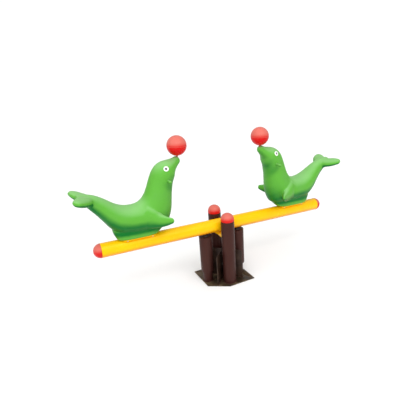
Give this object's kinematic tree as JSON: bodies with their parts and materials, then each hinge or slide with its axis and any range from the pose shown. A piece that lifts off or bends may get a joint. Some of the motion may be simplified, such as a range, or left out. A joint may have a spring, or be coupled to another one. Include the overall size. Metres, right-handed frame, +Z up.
{
  "type": "seesaw",
  "caption": "Playground seesaw: a steel beam tilting between two posts over sprung struts, with a moulded seal seat and hand grips at each end.",
  "frame": {"origin": "centre of the base plate's underside, under the pivot", "axes": "+Z up; +X along the beam towards the end that is lower at rest; +Y across, towards the rear post"},
  "size_m": [2.4005, 0.408, 1.337],
  "materials": {
    "brown_paint": "satin red-brown powder coat",
    "bronze_paint": "satin dark bronze coat, scuffed",
    "yellow_paint": "gloss yellow powder coat",
    "red_plastic": "gloss moulded plastic",
    "green_plastic": "satin rotomoulded plastic",
    "eye_white": "gloss white",
    "eye_grey": "gloss dark grey",
    "zinc_steel": "zinc plated",
    "bush_nylon": "plain natural nylon",
    "black_rubber": "matte"
  },
  "bodies": {
    "base": {"base_plate": "bronze_paint", "web_plate_1": "bronze_paint", "web_plate_2": "bronze_paint", "web_plate_3": "bronze_paint", "web_plate_4": "bronze_paint", "post_front": "brown_paint", "post_rear": "brown_paint", "post_cap_front": "red_plastic", "post_cap_rear": "red_plastic", "pivot_axle": "zinc_steel", "pivot_spacer_front": "zinc_steel", "pivot_spacer_rear": "zinc_steel", "strut_post_left": "brown_paint", "spring_seat_left": "zinc_steel", "strut_spring_left": "zinc_steel", "strut_post_right": "brown_paint", "spring_seat_right": "zinc_steel", "strut_spring_right": "zinc_steel"},
    "sleeve_left": {"strut_sleeve_left": "brown_paint", "guide_bush_left": "bush_nylon", "buffer_left": "black_rubber"},
    "sleeve_right": {"strut_sleeve_right": "brown_paint", "guide_bush_right": "bush_nylon", "buffer_right": "black_rubber"},
    "beam": {"pivot_bush_front": "bush_nylon", "pivot_bush_rear": "bush_nylon", "pivot_tube": "yellow_paint", "beam_tube": "yellow_paint", "beam_cap_left": "red_plastic", "gusset_left": "yellow_paint", "saddle_plate_left": "yellow_paint", "seal_body_left": "green_plastic", "grip_bar_left": "green_plastic", "ball_left": "red_plastic", "ball_pin_left": "red_plastic", "seat_bolt_left_1": "zinc_steel", "seat_bolt_left_2": "zinc_steel", "seat_bolt_left_3": "zinc_steel", "seat_bolt_left_4": "zinc_steel", "eye_white_left_near": "eye_white", "pupil_left_near": "eye_grey", "eye_white_left_far": "eye_white", "pupil_left_far": "eye_grey", "beam_cap_right": "red_plastic", "gusset_right": "yellow_paint", "saddle_plate_right": "yellow_paint", "seal_body_right": "green_plastic", "grip_bar_right": "green_plastic", "ball_right": "red_plastic", "ball_pin_right": "red_plastic", "seat_bolt_right_1": "zinc_steel", "seat_bolt_right_2": "zinc_steel", "seat_bolt_right_3": "zinc_steel", "seat_bolt_right_4": "zinc_steel", "eye_white_right_near": "eye_white", "pupil_right_near": "eye_grey", "eye_white_right_far": "eye_white", "pupil_right_far": "eye_grey"}
  },
  "joints": [
    {"name": "beam_rock", "type": "hinge", "parent": "base", "child": "beam", "pos_m": [0, 0, 0.4276], "axis": [0, 1, 0], "range_deg": [-17.4, 12.6], "stiffness_Nm_per_rad": 600, "springref_deg": -0.25},
    {"name": "left_sleeve_slide", "type": "slide", "parent": "base", "child": "sleeve_left", "axis": [0, 0, 1], "range_m": [-0.0495, 0.036], "deforming": ["strut_spring_left"]},
    {"name": "right_sleeve_slide", "type": "slide", "parent": "base", "child": "sleeve_right", "axis": [0, 0, 1], "range_m": [-0.036, 0.0495], "deforming": ["strut_spring_right"]}
  ],
  "couplings": [
    {"joint": "left_sleeve_slide", "follows": "beam_rock", "m_per_rad": 0.162},
    {"joint": "right_sleeve_slide", "follows": "beam_rock", "m_per_rad": -0.162}
  ]
}
